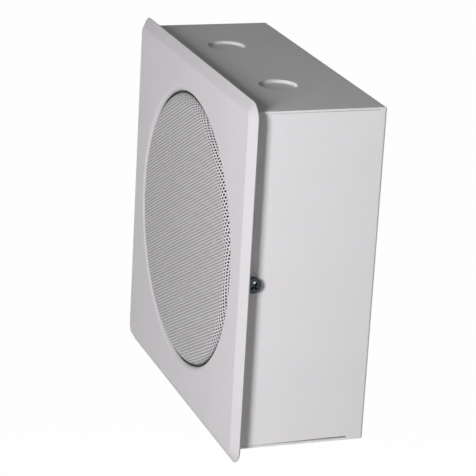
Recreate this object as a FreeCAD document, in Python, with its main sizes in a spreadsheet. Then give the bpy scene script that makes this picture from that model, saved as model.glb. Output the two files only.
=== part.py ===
import FreeCAD, Part
import math
import os
import Sketcher

# Surface-mount wall speaker: a folded steel back box, a bevelled front baffle with a pressed
# perforated grille, and a cone driver behind it. Millimetres. The origin is the point of the back
# face behind the driver's axis; the back face lies on the wall, +Z is up, the front looks along -Y.

doc = FreeCAD.newDocument("wall_speaker")
dims = doc.addObject("Spreadsheet::Sheet", "dims")

DRIVING_DIMENSIONS = {
    # Back box, folded from one sheet
    "overall_depth": 80.7,
    "sheet": 1.2,
    "box_side": 196.0,
    "box_setback": 0.5,
    "bend_radius": 1.6,
    "seam_gap": 0.4,
    "seam_relief": 4.0,
    "low_seam_gap": 0.7,
    "low_seam_relief": 10.0,
    "corner_relief": 3.5,
    "corner_relief_depth": 1.3,
    "knockout_dia": 22.2,
    "knockout_spacing": 90.0,
    "knockout_from_wall": 44.5,
    "knockout_sink": 1.8,
    "knockout_wall": 0.8,
    "wall_hole_spacing": 120.0,
    "wall_hole_dia": 6.0,
    # Baffle
    "baffle_side": 210.0,
    "baffle_drop": 1.4,
    "bevel_inset": 6.0,
    "bevel_depth": 3.6,
    "corner_radius": 10.0,
    "opening_dia": 161.4,
    "lip_roll": 2.4,
    "lip_depth": 5.0,
    # Grille and the ring that seals its gap
    "grille_sheet": 0.8,
    "grille_gap": 1.0,
    "grille_shoulder": 4.5,
    "grille_stand": 0.3,
    "grille_crown": 1.2,
    "grille_flange": 5.1,
    "perforation_dia": 8.0,
    "perforation_pitch": 13.0,
    "perforation_border": 6.0,
    "seal_sink": 1.7,
    "seal_clearance": 0.15,
    # Side brackets, screws and nuts
    "bracket_sheet": 1.5,
    "bracket_height": 44.0,
    "bracket_foot": 9.0,
    "bracket_leg": 16.0,
    "bracket_clearance": 0.3,
    "screw_setback": 4.6,
    "screw_dia": 4.8,
    "screw_length": 10.0,
    "screw_head_dia": 9.3,
    "screw_head_height": 3.2,
    "screw_crown": 1.6,
    "recess_width": 1.3,
    "recess_span": 5.4,
    "recess_depth": 2.0,
    "screw_play": 0.3,
    "nut_play": 0.1,
    "side_nut_width": 8.0,
    "side_nut_height": 4.0,
    # Driver fixing
    "stud_circle_dia": 174.0,
    "stud_dia": 4.0,
    "stud_length": 13.0,
    "stud_play": 0.3,
    "driver_nut_width": 7.0,
    "driver_nut_height": 3.2,
    "gasket_height": 2.0,
    "gasket_width": 7.0,
    # Driver frame
    "frame_dia": 168.0,
    "frame_sheet": 1.0,
    "frame_land": 19.0,
    "ear_dia": 16.0,
    "shelf_depth": 27.2,
    "shelf_dia": 84.0,
    "shelf_width": 6.0,
    "seat_depth": 36.7,
    "seat_dia": 68.0,
    "seat_hole_dia": 40.0,
    "window_count": 6,
    "window_inner_dia": 92.0,
    "window_outer_dia": 122.0,
    "window_angle": 42.0,
    # Magnet system
    "coil_gap": 0.5,
    "front_plate_dia": 72.0,
    "front_plate_height": 4.0,
    "magnet_dia": 84.0,
    "magnet_hole_dia": 36.0,
    "magnet_height": 14.0,
    "yoke_dia": 76.0,
    "yoke_height": 5.0,
    # Moving assembly
    "coil_dia": 25.3,
    "former_wall": 0.3,
    "winding_height": 8.0,
    "winding_wall": 0.6,
    "former_tail": 0.2,
    "cone_dia": 115.0,
    "cone_rim": 4.5,
    "cone_depth": 21.4,
    "cone_wall": 0.8,
    "glue_line": 0.1,
    "dust_cap_dia": 36.0,
    "dust_cap_rise": 7.0,
    "dust_cap_wall": 0.6,
    "cone_neck_seat": 1.0,
    # Suspension
    "travel_gap": 0.3,
    "surround_sheet": 0.5,
    "surround_roll": 4.0,
    "surround_bond": 5.0,
    "surround_land": 8.0,
    "spider_sheet": 0.5,
    "spider_bond": 4.0,
    "spider_wave": 1.4,
    # Driver terminals
    "tab_width": 18.0,
    "tab_length": 17.0,
    "board_width": 18.0,
    "board_length": 12.0,
    "board_height": 1.6,
    "lug_width": 4.0,
    "lug_sheet": 0.6,
    "lug_length": 16.0,
    "lug_spacing": 10.0,
    "rivet_dia": 2.4,
    "rivet_head_dia": 3.8,
    "rivet_head_height": 0.6,
    "rivet_play": 0.1,
    # Cable entry
    "cable_hole_dia": 22.2,
    "cable_hole_drop": 68.0,
    "grommet_bore": 14.0,
    "grommet_lip": 2.4,
    "grommet_lip_height": 1.8,
    "grommet_clearance": 0.1,
}
for row, (alias, number) in enumerate(DRIVING_DIMENSIONS.items(), start=1):
    dims.set(f"A{row}", alias)
    dims.set(f"B{row}", str(number))
    dims.setAlias(f"B{row}", alias)
doc.recompute()


# Sketching helpers. Sizes and places are expressions on the sheet, so they stay bound to it.

def value(expression):
    return float(dims.evalExpression(str(expression)))


def new_body(label):
    body = doc.addObject("PartDesign::Body", label)
    body.Label = label
    body.AllowCompound = True
    return body


def new_sketch(body, plane_role, offset=("0", "0", "0")):
    planes = [feature for feature in body.Origin.OriginFeatures if feature.Role == plane_role]
    sketch = body.newObject("Sketcher::SketchObject", body.Label + "_sketch")
    sketch.AttachmentSupport = [(planes[0], "")]
    sketch.MapMode = "FlatFace"
    for axis, expression in zip("xyz", offset):
        if expression != "0":
            sketch.setExpression(f".AttachmentOffset.Base.{axis}", expression)
    return sketch


def bind(sketch, kind, geometry, position, expression):
    constraint = Sketcher.Constraint(kind, -1, 1, geometry, position, value(expression))
    index = sketch.addConstraint(constraint)
    sketch.setExpression(f"Constraints[{index}]", str(expression))


def circle(sketch, x, y, radius):
    centre = FreeCAD.Vector(value(x), value(y), 0)
    normal = FreeCAD.Vector(0, 0, 1)
    geometry = sketch.addGeometry(Part.Circle(centre, normal, value(radius)), False)
    index = sketch.addConstraint(Sketcher.Constraint("Radius", geometry, value(radius)))
    sketch.setExpression(f"Constraints[{index}]", str(radius))
    for kind, expression in (("DistanceX", x), ("DistanceY", y)):
        bind(sketch, kind, geometry, 3, expression)


def outline(sketch, points):
    """Closes a loop of points (x, y); a point (x, y, (cx, cy)) starts an arc about that centre."""
    spots = [FreeCAD.Vector(value(point[0]), value(point[1]), 0) for point in points]
    edges = []
    for index, point in enumerate(points):
        start = spots[index]
        end = spots[(index + 1) % len(spots)]
        if len(point) == 2:
            edges.append((sketch.addGeometry(Part.LineSegment(start, end), False), 1, 2))
            continue
        centre = FreeCAD.Vector(value(point[2][0]), value(point[2][1]), 0)
        from_angle = math.atan2(start.y - centre.y, start.x - centre.x)
        to_angle = math.atan2(end.y - centre.y, end.x - centre.x)
        forward = (start - centre).cross(end - centre).z > 0
        ring = Part.Circle(centre, FreeCAD.Vector(0, 0, 1), (start - centre).Length)
        if forward:
            edges.append((sketch.addGeometry(Part.ArcOfCircle(ring, from_angle, to_angle), False), 1, 2))
        else:
            edges.append((sketch.addGeometry(Part.ArcOfCircle(ring, to_angle, from_angle), False), 2, 1))
    for index, (geometry, first, last) in enumerate(edges):
        following, following_first, _ = edges[(index + 1) % len(edges)]
        sketch.addConstraint(Sketcher.Constraint("Coincident", geometry, last, following, following_first))
        bind(sketch, "DistanceX", geometry, first, points[index][0])
        bind(sketch, "DistanceY", geometry, first, points[index][1])
        if len(points[index]) == 3:
            chord = spots[(index + 1) % len(spots)] - spots[index]
            kind, place = ("DistanceX", 0) if abs(chord.y) >= abs(chord.x) else ("DistanceY", 1)
            bind(sketch, kind, geometry, 3, points[index][2][place])


def rectangle(sketch, left, bottom, right, top):
    outline(sketch, [(left, bottom), (right, bottom), (right, top), (left, top)])


def rounded_square(sketch, half, radius):
    inner = f"({half} - {radius})"
    minus_half = f"-({half})"
    minus_inner = f"-{inner}"
    outline(sketch, [
        (minus_inner, minus_half), (inner, minus_half, (inner, minus_inner)),
        (half, minus_inner), (half, inner, (inner, inner)),
        (inner, half), (minus_inner, half, (minus_inner, inner)),
        (minus_half, inner), (minus_half, minus_inner, (minus_inner, minus_inner)),
    ])


def hexagon(sketch, x, y, width):
    corner = f"({width} / 2 / cos(30))"
    points = []
    for step in range(6):
        angle = 60 * step
        points.append((f"{x} + {corner} * cos({angle})", f"{y} + {corner} * sin({angle})"))
    outline(sketch, points)


def pad(body, sketch, length, towards_wall=False):
    feature = body.newObject("PartDesign::Pad", body.Label + "_pad")
    feature.Profile = sketch
    feature.Reversed = towards_wall
    feature.setExpression("Length", length)
    return feature


def pocket(body, sketch, length, reverse=False):
    volume_before = body.Shape.Volume
    feature = body.newObject("PartDesign::Pocket", body.Label + "_pocket")
    feature.Profile = sketch
    feature.Reversed = reverse
    feature.setExpression("Length", length)
    doc.recompute()
    if body.Shape.Volume >= volume_before:
        raise RuntimeError("A pocket cut nothing in " + body.Label)
    return feature


def turned(label, profiles):
    """A piece of revolution about the speaker's axis, from profiles of (radius, y) points."""
    body = new_body(label)
    for points in profiles:
        sketch = new_sketch(body, "XY_Plane")
        outline(sketch, points)
        feature = body.newObject("PartDesign::Revolution", label + "_turn")
        feature.Profile = sketch
        feature.ReferenceAxis = (sketch, ["V_Axis"])
        feature.Angle = 360
        doc.recompute()
    return body


def turned_ring(label, inner, outer, front, back):
    return turned(label, [[(inner, front), (outer, front), (outer, back), (inner, back)]])


def fold(body, plane, radius):
    """Rounds every edge that lies in the plane at this y, as the bend of a folded sheet."""
    base = body.Tip
    names = []
    for number, edge in enumerate(base.Shape.Edges, start=1):
        box = edge.BoundBox
        if abs(box.YMin - plane) < 1e-4 and abs(box.YMax - plane) < 1e-4:
            names.append(f"Edge{number}")
    feature = body.newObject("PartDesign::Fillet", body.Label + "_bends")
    feature.Base = (base, names)
    feature.setExpression("Radius", radius)
    body.Tip = feature
    doc.recompute()


def mirrored(body, features):
    planes = [feature for feature in body.Origin.OriginFeatures if feature.Role == "YZ_Plane"]
    feature = body.newObject("PartDesign::Mirrored", body.Label + "_mirror")
    feature.Originals = features
    feature.MirrorPlane = (planes[0], [""])
    body.Tip = feature
    doc.recompute()


# Planes across the speaker, from the front to the wall
front_face = "-dims.overall_depth"
baffle_back = "(-dims.overall_depth + dims.sheet)"
rim_plane = "(-dims.overall_depth + dims.bevel_depth)"
lip_end = "(-dims.overall_depth + dims.lip_depth)"
grille_back = f"({lip_end} + dims.grille_sheet)"
driver_plane = f"({grille_back} + dims.gasket_height)"
shelf_plane = f"({driver_plane} + dims.shelf_depth)"
plate_front = f"({driver_plane} + dims.seat_depth + dims.frame_sheet)"
plate_back = f"({plate_front} + dims.front_plate_height)"
magnet_back = f"({plate_back} + dims.magnet_height)"
yoke_back = f"({magnet_back} + dims.yoke_height)"
wall_inside = "-dims.sheet"

# Radii about the driver's axis
opening = "(dims.opening_dia / 2)"
pan_wall = f"({opening} - dims.grille_gap)"
former_inner = "(dims.coil_dia / 2)"
former_outer = f"({former_inner} + dims.former_wall)"
winding_outer = f"({former_outer} + dims.winding_wall)"
box_half = "(dims.box_side / 2)"


# Enclosure: back box folded from one blank. The side walls end under the top and bottom walls, and
# the open seams between them run back to a relief at the bend, wider and shorter at the bottom. The
# front corners are notched to clear the baffle's round corners. Two pressed-in knockouts are in the
# top.
enclosure = new_body("enclosure")
box_front = "(dims.overall_depth - dims.sheet - dims.box_setback)"
sketch = new_sketch(enclosure, "XZ_Plane")
rectangle(sketch, f"-{box_half}", f"-{box_half}", box_half, box_half)
pad(enclosure, sketch, box_front)
doc.recompute()
box_inside = f"({box_half} - dims.sheet)"
fold(enclosure, 0.0, "dims.bend_radius")
sketch = new_sketch(enclosure, "XZ_Plane", ("0", "0", "dims.sheet"))
rectangle(sketch, f"-{box_inside}", f"-{box_inside}", box_inside, box_inside)
pocket(enclosure, sketch, "dims.overall_depth", True)
fold(enclosure, value(wall_inside), "dims.bend_radius - dims.sheet")

seam_inner = f"({box_inside} - dims.sheet / 2)"
outside = f"({box_half} + dims.sheet)"
for end, gap, relief in (
    (1, "dims.seam_gap", "dims.seam_relief"),
    (-1, "dims.low_seam_gap", "dims.low_seam_relief"),
):
    sketch = new_sketch(enclosure, "XZ_Plane", ("0", "0", relief))
    for side in (1, -1):
        x_edges = [f"{side} * {seam_inner}", f"{side} * {outside}"][::side]
        z_edges = [f"{end} * ({box_inside} - {gap})", f"{end} * {box_inside}"][::end]
        rectangle(sketch, x_edges[0], z_edges[0], x_edges[1], z_edges[1])
    pocket(enclosure, sketch, "dims.overall_depth", True)

sketch = new_sketch(enclosure, "XZ_Plane", ("0", "0", box_front))
notch = f"({box_half} - dims.corner_relief)"
for side in (1, -1):
    for end in (1, -1):
        x_edges = [f"{side} * {notch}", f"{side} * {outside}"][::side]
        z_edges = [f"{end} * {notch}", f"{end} * {outside}"][::end]
        rectangle(sketch, x_edges[0], z_edges[0], x_edges[1], z_edges[1])
pocket(enclosure, sketch, "dims.corner_relief_depth")

knockout = "(dims.knockout_dia / 2)"
sketch = new_sketch(enclosure, "XY_Plane", ("0", "0", box_inside))
for side in (1, -1):
    cup = f"({knockout} + dims.knockout_wall)"
    circle(sketch, f"{side} * dims.knockout_spacing / 2", "-dims.knockout_from_wall", cup)
pad(enclosure, sketch, "dims.knockout_sink", True)
doc.recompute()
sketch = new_sketch(enclosure, "XY_Plane", ("0", "0", box_half))
for side in (1, -1):
    circle(sketch, f"{side} * dims.knockout_spacing / 2", "-dims.knockout_from_wall", knockout)
pocket(enclosure, sketch, "dims.knockout_sink")

wall_hole = "(dims.wall_hole_spacing / 2)"
sketch = new_sketch(enclosure, "XZ_Plane")
for x in (wall_hole, f"-{wall_hole}"):
    for z in (wall_hole, f"-{wall_hole}"):
        circle(sketch, x, z, "dims.wall_hole_dia / 2")
circle(sketch, "0", "-dims.cable_hole_drop", "dims.cable_hole_dia / 2")
pocket(enclosure, sketch, "dims.sheet * 2", True)

screw_plane = f"({rim_plane} + dims.screw_setback)"
sketch = new_sketch(enclosure, "YZ_Plane")
circle(sketch, screw_plane, "0", "dims.screw_dia / 2 + dims.screw_play")
side_holes = pocket(enclosure, sketch, "dims.box_side")
side_holes.Midplane = True


# Baffle: pressed front plate with a bevelled border, conical corners and a rolled-in opening. Its
# outline hangs a little lower than the opening, so it overlaps the box further at the bottom.
bevel_slant = "sqrt(dims.bevel_inset ^ 2 + dims.bevel_depth ^ 2)"
edge_inset = f"(dims.sheet * dims.bevel_depth / {bevel_slant})"
edge_depth = f"(dims.sheet * dims.bevel_inset / {bevel_slant})"
bevel_thickness = f"(dims.sheet * {bevel_slant} / dims.bevel_inset)"
baffle_half = "(dims.baffle_side / 2)"
corner_centre = f"({baffle_half} - dims.corner_radius)"
face_half = f"({baffle_half} - dims.bevel_inset)"
rim_half = f"({baffle_half} - {edge_inset})"
hollow_half = f"({face_half} + (dims.sheet - {bevel_thickness}) * dims.bevel_inset / dims.bevel_depth)"


def baffle_section(half, depth_from_wall):
    section = new_sketch(baffle, "XZ_Plane", ("0", "-dims.baffle_drop", depth_from_wall))
    rounded_square(section, half, f"({half} - {corner_centre})")
    return section


def loft(kind, sections):
    feature = baffle.newObject("PartDesign::" + kind, "baffle_" + kind)
    feature.Profile = sections[0]
    feature.Sections = sections[1:]
    feature.Ruled = True
    doc.recompute()


baffle = new_body("baffle")
rim_back = f"(-({rim_plane}) - {edge_depth})"
loft("AdditiveLoft", [
    baffle_section(face_half, "dims.overall_depth"),
    baffle_section(baffle_half, f"-({rim_plane})"),
    baffle_section(rim_half, rim_back),
])
loft("SubtractiveLoft", [
    baffle_section(hollow_half, f"-({baffle_back})"),
    baffle_section(rim_half, rim_back),
])
roll_centre = f"({opening} + dims.lip_roll)"
sketch = new_sketch(baffle, "XZ_Plane", ("0", "0", "dims.overall_depth"))
circle(sketch, "0", "0", roll_centre)
pocket(baffle, sketch, "dims.sheet * 2")
sketch = new_sketch(baffle, "XY_Plane")
roll_plane = f"({front_face} + dims.lip_roll)"
roll_middle = (roll_centre, roll_plane)
lip_outer = f"({opening} + dims.sheet)"
outline(sketch, [
    (roll_centre, front_face, roll_middle), (opening, roll_plane), (opening, lip_end),
    (lip_outer, lip_end), (lip_outer, roll_plane, roll_middle), (roll_centre, baffle_back),
])
lip = baffle.newObject("PartDesign::Revolution", "rolled_lip")
lip.Profile = sketch
lip.ReferenceAxis = (sketch, ["V_Axis"])
lip.Angle = 360
doc.recompute()


# Grille: pressed pan with a faint crown, a rounded shoulder and a flange behind the rolled lip.
# Its round holes stand in staggered columns.
crown_edge = f"({front_face} - dims.grille_stand)"
crown_apex = f"({crown_edge} - dims.grille_crown)"
shoulder = f"({pan_wall} - dims.grille_shoulder)"
shoulder_centre = (shoulder, f"({crown_edge} + dims.grille_shoulder)")
crown_radius = f"(({shoulder} ^ 2 + dims.grille_crown ^ 2) / (2 * dims.grille_crown))"
crown_centre = ("0", f"({crown_apex} + {crown_radius})")
pan_inside = f"({pan_wall} - dims.grille_sheet)"
flange_edge = f"({pan_wall} + dims.grille_flange)"
crown_edge_inside = f"({crown_edge} + dims.grille_sheet)"
crown_apex_inside = f"({crown_apex} + dims.grille_sheet)"
grille = turned("grille", [[
    ("0", crown_apex, crown_centre), (shoulder, crown_edge, shoulder_centre),
    (pan_wall, shoulder_centre[1]), (pan_wall, lip_end), (flange_edge, lip_end),
    (flange_edge, grille_back), (pan_inside, grille_back),
    (pan_inside, shoulder_centre[1], shoulder_centre),
    (shoulder, crown_edge_inside, crown_centre), ("0", crown_apex_inside),
]])
sketch = new_sketch(grille, "XZ_Plane", ("0", "0", "dims.overall_depth"))
pitch = value("dims.perforation_pitch")
reach = value(f"{pan_wall} - dims.perforation_border - dims.perforation_dia / 2")
columns = int(reach / (pitch * math.cos(math.pi / 6)))
for column in range(-columns, columns + 1):
    x = f"{column} * dims.perforation_pitch * cos(30)"
    rows = int(reach / pitch) + 1
    for row in range(-rows, rows + 1):
        z = f"({row} + {abs(column) % 2} / 2) * dims.perforation_pitch"
        if math.hypot(value(x), value(z)) <= reach:
            circle(sketch, x, z, "dims.perforation_dia / 2")
holes = pocket(grille, sketch, "dims.lip_depth * 4")
holes.Midplane = True

seal_front = f"({front_face} + dims.seal_sink)"
seal_inner = f"({pan_wall} + dims.seal_clearance)"
seal_outer = f"({opening} - dims.seal_clearance)"
turned_ring("grille_seal", seal_inner, seal_outer, seal_front, lip_end)


# Side brackets: angles on the back of the baffle whose legs lie just inside the box's side walls.
leg_outside = f"({box_inside} - dims.bracket_clearance)"
leg_inside = f"({leg_outside} - dims.bracket_sheet)"
foot_inside = f"({leg_outside} - dims.bracket_foot)"
foot_back = f"({baffle_back} + dims.bracket_sheet)"
leg_end = f"({baffle_back} + dims.bracket_leg)"
for label, side in (("bracket_left", -1), ("bracket_right", 1)):
    bracket = new_body(label)
    sketch = new_sketch(bracket, "XY_Plane")
    section = [(foot_inside, baffle_back), (leg_outside, baffle_back), (leg_outside, leg_end),
               (leg_inside, leg_end), (leg_inside, foot_back), (foot_inside, foot_back)]
    outline(sketch, [(f"{side} * {x}", y) for x, y in section])
    pad(bracket, sketch, "dims.bracket_height").Midplane = True
    doc.recompute()
    sketch = new_sketch(bracket, "YZ_Plane")
    circle(sketch, screw_plane, "0", "dims.screw_dia / 2 + dims.screw_play")
    pocket(bracket, sketch, "dims.box_side", side > 0)

# Side screws: cross-recess pan heads outside the box, shanks through wall, bracket and nut.
side_screws = new_body("side_screws")
sketch = new_sketch(side_screws, "XY_Plane", ("0", screw_plane, "0"))
shank = "(dims.screw_dia / 2)"
head = "(dims.screw_head_dia / 2)"
head_side = f"({box_half} + dims.screw_head_height - dims.screw_crown)"
head_top = f"({box_half} + dims.screw_head_height)"
head_radius = f"(({head} ^ 2 + dims.screw_crown ^ 2) / (2 * dims.screw_crown))"
screw_tip = f"({box_half} - dims.screw_length)"
outline(sketch, [
    (screw_tip, "0"), (head_top, "0", (f"({head_top} - {head_radius})", "0")), (head_side, head),
    (box_half, head), (box_half, shank), (screw_tip, shank),
])
screw_turn = side_screws.newObject("PartDesign::Revolution", "screw_turn")
screw_turn.Profile = sketch
screw_turn.ReferenceAxis = (sketch, ["H_Axis"])
screw_turn.Angle = 360
doc.recompute()
sketch = new_sketch(side_screws, "YZ_Plane", (screw_plane, "0", head_top))
blade = "(dims.recess_width / 2)"
span = "(dims.recess_span / 2)"
outline(sketch, [
    (f"-{blade}", f"-{span}"), (blade, f"-{span}"), (blade, f"-{blade}"), (span, f"-{blade}"),
    (span, blade), (blade, blade), (blade, span), (f"-{blade}", span), (f"-{blade}", blade),
    (f"-{span}", blade), (f"-{span}", f"-{blade}"), (f"-{blade}", f"-{blade}"),
])
recess = pocket(side_screws, sketch, "dims.recess_depth")
mirrored(side_screws, [screw_turn, recess])

side_nuts = new_body("side_nuts")
sketch = new_sketch(side_nuts, "YZ_Plane", ("0", "0", leg_inside))
hexagon(sketch, screw_plane, "0", "dims.side_nut_width")
circle(sketch, screw_plane, "0", "dims.screw_dia / 2 + dims.nut_play")
nut_pad = pad(side_nuts, sketch, "dims.side_nut_height", True)
doc.recompute()
mirrored(side_nuts, [nut_pad])


# Driver studs and nuts: weld studs on the back of the baffle, on the diagonals.
stud_place = "(dims.stud_circle_dia / 2 * cos(45))"
diagonals = [(f"{x} * {stud_place}", f"{z} * {stud_place}") for x in (1, -1) for z in (1, -1)]
driver_studs = new_body("driver_studs")
sketch = new_sketch(driver_studs, "XZ_Plane", ("0", "0", f"-({baffle_back})"))
for x, z in diagonals:
    circle(sketch, x, z, "dims.stud_dia / 2")
pad(driver_studs, sketch, "dims.stud_length", True)

frame_back = f"({driver_plane} + dims.frame_sheet)"
driver_nuts = new_body("driver_nuts")
sketch = new_sketch(driver_nuts, "XZ_Plane", ("0", "0", f"-({frame_back})"))
for x, z in diagonals:
    hexagon(sketch, x, z, "dims.driver_nut_width")
    circle(sketch, x, z, "dims.stud_dia / 2 + dims.nut_play")
pad(driver_nuts, sketch, "dims.driver_nut_height", True)


# Driver gasket and frame: a pressed basket with windows, four ears and a terminal tab.
frame_edge = "(dims.frame_dia / 2)"
turned_ring("driver_gasket", f"({frame_edge} - dims.gasket_width)", frame_edge, grille_back, driver_plane)

land_inner = f"({frame_edge} - dims.frame_land)"
shelf_outer = "(dims.shelf_dia / 2)"
shelf_inner = f"({shelf_outer} - dims.shelf_width)"
seat_edge = "(dims.seat_dia / 2)"
seat_plane = f"({driver_plane} + dims.seat_depth)"
shelf_back = f"({shelf_plane} + dims.frame_sheet)"
basket = turned("basket", [[
    (frame_edge, driver_plane), (land_inner, driver_plane), (shelf_outer, shelf_plane),
    (shelf_inner, shelf_plane), (f"({seat_edge} - dims.frame_sheet)", seat_plane),
    ("dims.seat_hole_dia / 2", seat_plane), ("dims.seat_hole_dia / 2", plate_front),
    (seat_edge, plate_front), (f"({shelf_inner} + dims.frame_sheet)", shelf_back),
    (f"({shelf_outer} + dims.frame_sheet / 2)", shelf_back),
    (f"({land_inner} + dims.frame_sheet / 2)", frame_back), (frame_edge, frame_back),
]])
sketch = new_sketch(basket, "XZ_Plane", ("0", "0", f"-({driver_plane})"))
for x, z in diagonals:
    circle(sketch, x, z, "dims.ear_dia / 2")
pad(basket, sketch, "dims.frame_sheet", True)
doc.recompute()
sketch = new_sketch(basket, "XZ_Plane", ("0", "0", f"-({driver_plane})"))
for x, z in diagonals:
    circle(sketch, x, z, "dims.stud_dia / 2 + dims.stud_play")
pocket(basket, sketch, "dims.frame_sheet * 2")
sketch = new_sketch(basket, "XZ_Plane", ("0", "0", f"-({driver_plane})"))
window_inner = "(dims.window_inner_dia / 2)"
window_outer = "(dims.window_outer_dia / 2)"
for window in range(int(value("dims.window_count"))):
    centre_angle = f"({window} * 360 / dims.window_count)"
    first = f"({centre_angle} - dims.window_angle / 2)"
    last = f"({centre_angle} + dims.window_angle / 2)"
    outline(sketch, [
        (f"{window_inner} * cos({first})", f"{window_inner} * sin({first})"),
        (f"{window_outer} * cos({first})", f"{window_outer} * sin({first})", ("0", "0")),
        (f"{window_outer} * cos({last})", f"{window_outer} * sin({last})"),
        (f"{window_inner} * cos({last})", f"{window_inner} * sin({last})", ("0", "0")),
    ])
pocket(basket, sketch, "dims.shelf_depth")
tab_half = "(dims.tab_width / 2)"
tab_start = f"({shelf_outer} - dims.shelf_width / 2)"
tab_end = f"({tab_start} + dims.tab_length)"
sketch = new_sketch(basket, "XZ_Plane", ("0", "0", f"-({shelf_plane})"))
rectangle(sketch, f"-{tab_half}", f"-{tab_end}", tab_half, f"-{tab_start}")
pad(basket, sketch, "dims.frame_sheet", True)
doc.recompute()
sketch = new_sketch(basket, "XZ_Plane", ("0", "0", f"-({shelf_plane})"))
lug_place = "(dims.lug_spacing / 2)"
rivet_place = f"({tab_end} - dims.board_length / 2)"
for side in (1, -1):
    circle(sketch, f"{side} * {lug_place}", f"-{rivet_place}", "dims.rivet_dia / 2 + dims.rivet_play")
pocket(basket, sketch, "dims.frame_sheet * 2")


# Magnet system: front plate, ferrite ring and a yoke whose pole stands in the coil.
plate_hole = f"({winding_outer} + dims.coil_gap)"
turned_ring("front_plate", plate_hole, "dims.front_plate_dia / 2", plate_front, plate_back)
turned_ring("magnet", "dims.magnet_hole_dia / 2", "dims.magnet_dia / 2", plate_back, magnet_back)
pole = f"({former_inner} - dims.coil_gap)"
turned("yoke", [[
    ("0", plate_front), (pole, plate_front), (pole, magnet_back), ("dims.yoke_dia / 2", magnet_back),
    ("dims.yoke_dia / 2", yoke_back), ("0", yoke_back),
]])


# Moving assembly: coil on its former, paper cone with a flat rim, and dust cap.
cone_front = f"({driver_plane} + dims.travel_gap)"
cone_edge = "(dims.cone_dia / 2)"
cone_start = f"({cone_edge} - dims.cone_rim)"
neck = f"({former_outer} + dims.glue_line)"
neck_front = f"({cone_front} + dims.cone_depth)"
former_front = f"({neck_front} - dims.cone_neck_seat)"
coil_middle = f"({plate_front} + dims.front_plate_height / 2)"
coil_front = f"({coil_middle} - dims.winding_height / 2)"
coil_back = f"({coil_middle} + dims.winding_height / 2)"
turned_ring("coil_former", former_inner, former_outer, former_front, f"({coil_back} + dims.former_tail)")
turned_ring("voice_coil", former_outer, winding_outer, coil_front, coil_back)
turned("cone", [[
    (cone_edge, cone_front), (cone_start, cone_front), (neck, neck_front),
    (neck, f"({neck_front} + dims.cone_wall)"), (cone_start, f"({cone_front} + dims.cone_wall)"),
    (cone_edge, f"({cone_front} + dims.cone_wall)"),
]])
cap_edge = "(dims.dust_cap_dia / 2)"
cone_slope = f"(dims.cone_depth / ({cone_start} - {neck}))"
cap_plane = f"({neck_front} - ({cap_edge} - {neck}) * {cone_slope} - dims.glue_line)"
cap_apex = f"({cap_plane} - dims.dust_cap_rise)"
cap_radius = f"(({cap_edge} ^ 2 + dims.dust_cap_rise ^ 2) / (2 * dims.dust_cap_rise))"
cap_inside = f"({cap_radius} - dims.dust_cap_wall)"
cap_centre = f"({cap_apex} + {cap_radius})"
cap_drop = f"({cap_centre} - {cap_plane})"
turned("dust_cap", [[
    ("0", cap_apex, ("0", cap_centre)), (cap_edge, cap_plane),
    (f"sqrt({cap_inside} ^ 2 - {cap_drop} ^ 2)", cap_plane, ("0", cap_centre)),
    ("0", f"({cap_apex} + dims.dust_cap_wall)"),
]])


# Suspension: the rolled surround lies on the frame's land and the cone's rim, the waved spider
# runs from the frame's shelf to the coil former.
surround_front = f"({driver_plane} - dims.surround_sheet)"
roll_axis = f"({cone_edge} + dims.surround_roll)"
roll_foot = "sqrt(dims.surround_roll ^ 2 - dims.surround_sheet ^ 2)"
roll_under = "(dims.surround_roll - dims.surround_sheet)"
roll_inner = f"({cone_edge} - dims.surround_bond)"
roll_outer = f"({roll_axis} + dims.surround_roll + dims.surround_land)"
turned("surround", [[
    (roll_inner, surround_front),
    (f"({roll_axis} - {roll_foot})", surround_front, (roll_axis, driver_plane)),
    (f"({roll_axis} + {roll_foot})", surround_front),
    (roll_outer, surround_front), (roll_outer, driver_plane),
    (f"({roll_axis} + {roll_under})", driver_plane, (roll_axis, driver_plane)),
    (f"({roll_axis} - {roll_under})", driver_plane),
    (roll_inner, driver_plane),
]])

spider_edge = f"({shelf_inner} + dims.spider_bond)"
spider_inner = f"({former_outer} + dims.travel_gap)"
wave_count = 4
wave_span = f"(({shelf_inner} - {spider_inner}) / {2 * wave_count + 1})"
spider_points = [(spider_edge, "0")]
for wave in range(2 * wave_count + 1):
    lift = "dims.spider_wave" if wave % 2 else "0"
    spider_points.append((f"({shelf_inner} - {wave} * {wave_span})", lift))
spider_points.append((spider_inner, "0"))
spider_back = shelf_plane
spider_front = f"({shelf_plane} - dims.spider_sheet)"
turned("spider", [
    [(x, f"({spider_front} - {lift})") for x, lift in spider_points]
    + [(x, f"({spider_back} - {lift})") for x, lift in reversed(spider_points)]
])


# Driver terminals: a board riveted to the basket's tab with two solder lugs.
board_back = f"({shelf_back} + dims.board_height)"
lug_back = f"({board_back} + dims.lug_sheet)"
rivet_hole = "(dims.rivet_dia / 2 + dims.rivet_play)"
terminal_board = new_body("terminal_board")
sketch = new_sketch(terminal_board, "XZ_Plane", ("0", "0", f"-({shelf_back})"))
board_half = "(dims.board_width / 2)"
rectangle(sketch, f"-{board_half}", f"-{tab_end}", board_half, f"-({tab_end} - dims.board_length)")
for side in (1, -1):
    circle(sketch, f"{side} * {lug_place}", f"-{rivet_place}", rivet_hole)
pad(terminal_board, sketch, "dims.board_height", True)

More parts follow.
